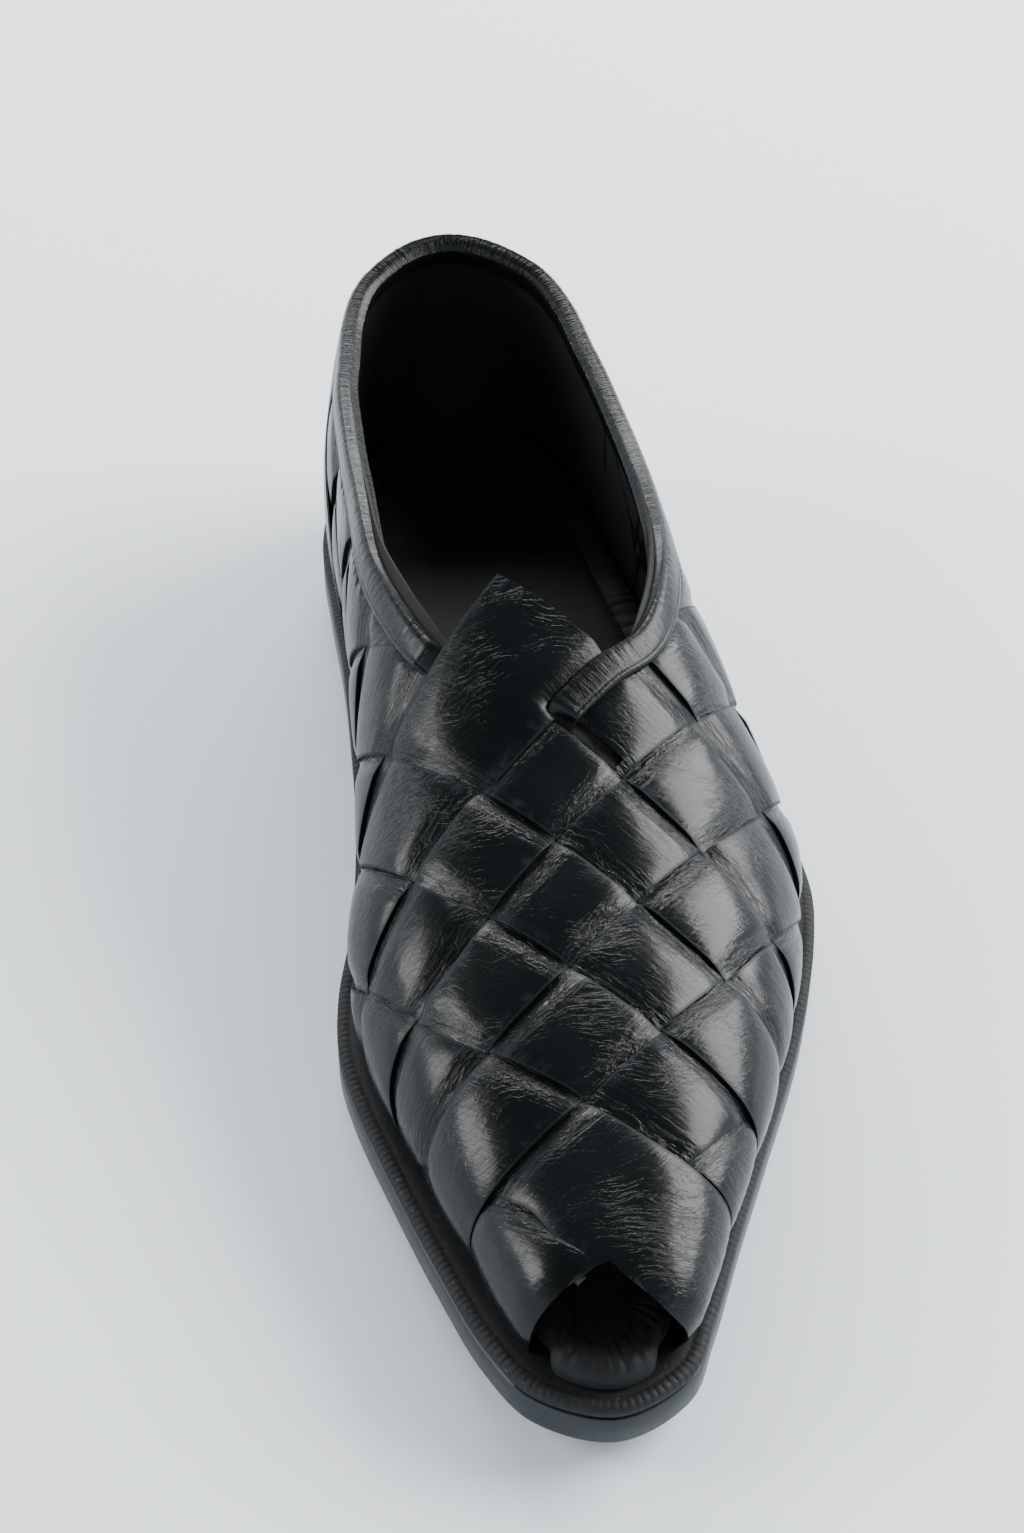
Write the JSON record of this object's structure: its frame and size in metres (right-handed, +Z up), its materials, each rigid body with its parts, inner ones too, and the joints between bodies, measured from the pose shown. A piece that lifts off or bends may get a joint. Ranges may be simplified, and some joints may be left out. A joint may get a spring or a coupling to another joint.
{
  "type": "woven open-toe leather jutti",
  "caption": "Pointed slip-on shoe with a diagonally woven leather upper, open toe tip, bound collar, smooth heel counter, ribbed welt and low heel.",
  "frame": {"origin": "on the floor, at the middle of the shoe's box", "axes": "+Z up from the floor, -Y towards the toe, +X towards the outer side of the foot"},
  "size_m": [0.1062, 0.308, 0.0789],
  "materials": {
    "sole_rubber": "smooth satin dark grey",
    "welt_rubber": "matt black with fine wheeled ribs",
    "lining_leather": "soft matt black, gathered at the rim",
    "woven_leather": "polished black with fine creases",
    "smooth_leather": "polished black, smooth"
  },
  "bodies": {
    "root": {"outsole": "sole_rubber", "welt": "welt_rubber", "heel": "sole_rubber", "insole": "lining_leather", "upper": "woven_leather", "counter": "smooth_leather", "topline_binding": "smooth_leather"}
  },
  "joints": []
}
